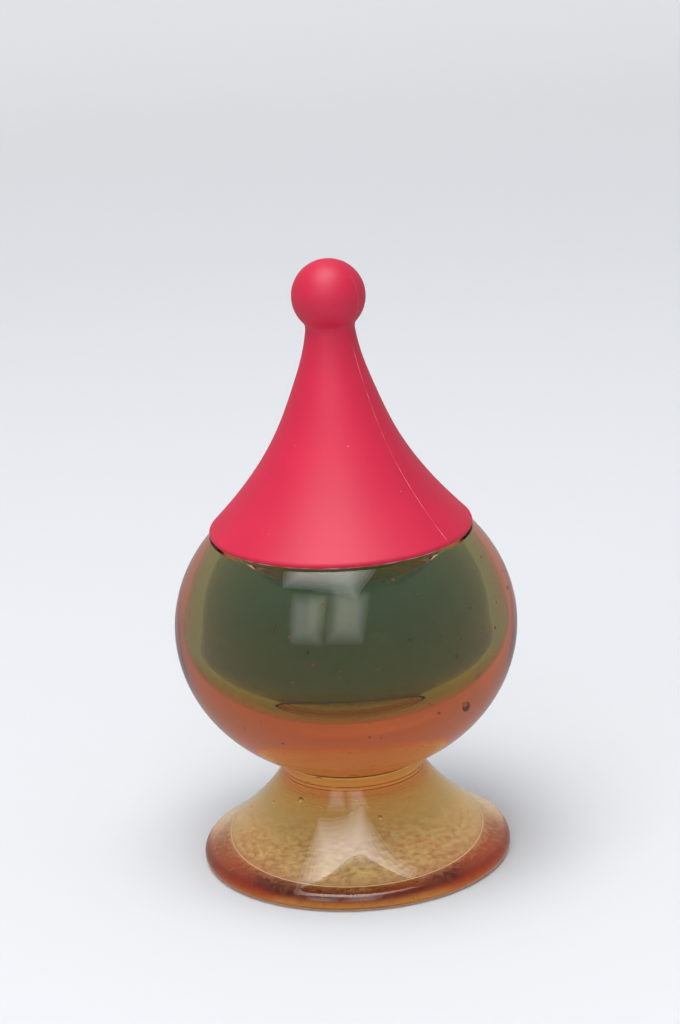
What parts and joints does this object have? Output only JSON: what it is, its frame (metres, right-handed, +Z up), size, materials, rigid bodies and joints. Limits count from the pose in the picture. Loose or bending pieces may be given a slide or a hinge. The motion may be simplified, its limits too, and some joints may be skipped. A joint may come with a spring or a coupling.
{
  "type": "perfume atomiser",
  "caption": "Perfume atomiser with a thick round glass bottle on a flared foot, a crimped fine-mist pump and a tall pointed pull-off cap with a ball on top.",
  "frame": {"origin": "centre of the plane the foot rests on", "axes": "+Z up through the ball on the cap, spray nozzle facing -Y at rest"},
  "size_m": [0.062, 0.062, 0.1115],
  "materials": {
    "amber_glass": "clear amber, polished",
    "perfume_liquid": "clear olive liquid",
    "clear_tube": "clear tube",
    "gasket_rubber": "soft matt",
    "pump_plastic": "natural, slightly milky",
    "piston_plastic": "soft, waxy",
    "spring_steel": "bright stainless",
    "plain_aluminium": "plain, satin",
    "gold_aluminium": "gold anodised, polished",
    "insert_plastic": "white, satin",
    "liner_plastic": "natural white",
    "crimson_plastic": "soft satin crimson"
  },
  "bodies": {
    "bottle_unit": {"bottle": "amber_glass", "perfume": "perfume_liquid", "dip_tube": "clear_tube", "neck_gasket": "gasket_rubber", "pump_body": "pump_plastic", "stem_bush": "pump_plastic", "return_spring": "spring_steel", "crimp_ferrule": "plain_aluminium", "collar_insert": "insert_plastic", "collar": "gold_aluminium"},
    "stem_unit": {"spray_stem": "pump_plastic", "piston_rod": "pump_plastic", "piston_spring": "spring_steel"},
    "piston": {"main_piston": "piston_plastic"},
    "actuator": {"button_core": "insert_plastic", "button_shell": "gold_aluminium", "spray_nozzle": "insert_plastic"},
    "inlet_valve": {"inlet_ball": "spring_steel"},
    "cap": {"cap_shell": "crimson_plastic", "cap_liner": "liner_plastic"}
  },
  "joints": [
    {"name": "cap_lift", "type": "slide", "parent": "bottle_unit", "child": "cap", "axis": [0, 0, 1], "range_m": [0, 0.045]},
    {"name": "pump_press", "type": "slide", "parent": "bottle_unit", "child": "stem_unit", "axis": [0, 0, -1], "range_m": [0, 0.004], "stiffness_N_per_m": 1200, "springref_m": -0.004, "deforming": ["return_spring"]},
    {"name": "actuator_turn", "type": "hinge", "parent": "stem_unit", "child": "actuator", "pos_m": [0, 0, 0.084], "axis": [0, 0, 1], "continuous": true},
    {"name": "piston_lag", "type": "slide", "parent": "stem_unit", "child": "piston", "axis": [0, 0, 1], "range_m": [0, 0.0005], "deforming": ["piston_spring"]},
    {"name": "ball_lift", "type": "slide", "parent": "bottle_unit", "child": "inlet_valve", "axis": [0, 0, 1], "range_m": [0, 0.0006]}
  ],
  "couplings": [
    {"joint": "piston_lag", "follows": "pump_press", "ratio": 0.125}
  ]
}
